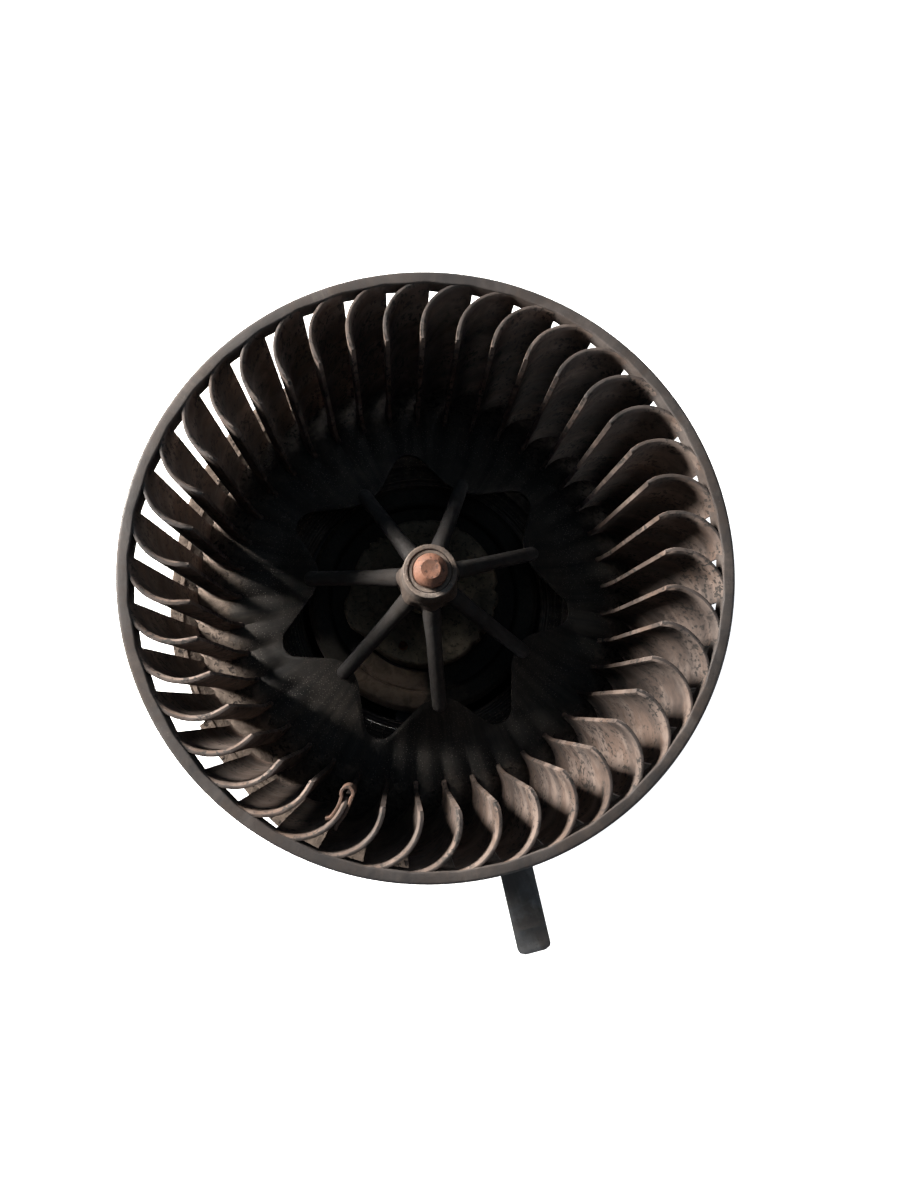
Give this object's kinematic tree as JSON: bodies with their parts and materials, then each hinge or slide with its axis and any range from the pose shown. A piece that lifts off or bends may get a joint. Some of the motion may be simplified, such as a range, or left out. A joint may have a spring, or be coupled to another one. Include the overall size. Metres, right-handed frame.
{
  "type": "centrifugal blower",
  "caption": "Squirrel-cage blower wheel with curved blades on a brushed DC motor, held in a round flange with a locking tongue.",
  "frame": {"origin": "centre of the flange's seating face, on the shaft's axis", "axes": "+Z along the shaft from the seating face to the wheel's open inlet end; +Y towards the connector socket; +X to the right when looking into the inlet with +Y up"},
  "size_m": [0.1663, 0.1834, 0.141],
  "materials": {
    "wheel_plastic": "black moulded plastic, dusty",
    "housing_plastic": "black moulded plastic, heavy dust on upward faces",
    "tongue_plastic": "black moulded plastic, scuffed",
    "bush_metal": "dull metal with dust",
    "rusty_steel": "spring steel, rusted",
    "shaft_steel": "ground steel, rusty at the tip",
    "lamination_steel": "stacked sheet steel",
    "insulation_fibre": "red-brown fibre",
    "winding_copper": "enamelled copper wire",
    "moulding_compound": "brown phenolic",
    "commutator_copper": "worn copper",
    "isolator_rubber": "soft black rubber",
    "can_steel": "zinc-plated steel, dulled",
    "cap_steel": "plated steel under brown dust",
    "ferrite": "ground ferrite",
    "spring_steel": "spring steel",
    "sintered_bronze": "porous bronze, oiled",
    "felt": "oil-soaked felt",
    "brass": "folded brass sheet",
    "carbon": "graphite",
    "capacitor_resin": "dipped resin",
    "lead_insulation": "wire insulation",
    "screw_steel": "zinc-plated steel",
    "tinned_brass": "tinned brass"
  },
  "bodies": {
    "housing": {"mounting_flange": "housing_plastic", "motor_cradle": "housing_plastic", "rubber_isolators": "isolator_rubber", "motor_can": "can_steel", "motor_front_cap": "cap_steel", "motor_rear_cap": "can_steel", "magnet_front": "ferrite", "magnet_back": "ferrite", "magnet_clips": "spring_steel", "front_bearing": "sintered_bronze", "rear_bearing": "sintered_bronze", "bearing_retainers": "spring_steel", "oil_felts": "felt", "brush_plate": "moulding_compound", "brush_boxes": "brass", "brush_spring_right": "spring_steel", "brush_spring_left": "spring_steel", "choke_coils": "winding_copper", "suppression_capacitor": "capacitor_resin", "motor_leads": "lead_insulation", "rear_cover": "housing_plastic", "cover_screws": "screw_steel", "connector_socket": "housing_plastic", "terminal_pins": "tinned_brass"},
    "rotor": {"fan_ring": "wheel_plastic", "fan_blades": "wheel_plastic", "fan_backplate": "wheel_plastic", "fan_spokes": "wheel_plastic", "fan_hub": "wheel_plastic", "hub_bush": "bush_metal", "balance_clip": "rusty_steel", "motor_shaft": "shaft_steel", "armature_core": "lamination_steel", "armature_insulators": "insulation_fibre", "armature_windings": "winding_copper", "commutator_core": "moulding_compound", "commutator_segments": "commutator_copper", "thrust_washers": "insulation_fibre"},
    "brush_right": {"brush_right": "carbon"},
    "brush_left": {"brush_left": "carbon"},
    "tongue": {"locking_tongue": "tongue_plastic"}
  },
  "joints": [
    {"name": "rotor_spin", "type": "hinge", "parent": "housing", "child": "rotor", "pos_m": [0, 0, 0], "axis": [0, 0, 1], "continuous": true},
    {"name": "brush_right_slide", "type": "slide", "parent": "housing", "child": "brush_right", "axis": [1, 0, 0], "range_m": [0, 0.003], "stiffness_N_per_m": 600, "springref_m": -0.006, "deforming": ["brush_spring_right"]},
    {"name": "brush_left_slide", "type": "slide", "parent": "housing", "child": "brush_left", "axis": [-1, 0, 0], "range_m": [0, 0.003], "stiffness_N_per_m": 600, "springref_m": -0.006, "deforming": ["brush_spring_left"]},
    {"name": "tongue_flex", "type": "hinge", "parent": "housing", "child": "tongue", "pos_m": [0.0231, -0.05624, -0.0039], "axis": [0.9742, 0.2258, 0], "range_deg": [0, 8], "stiffness_Nm_per_rad": 1.8}
  ]
}
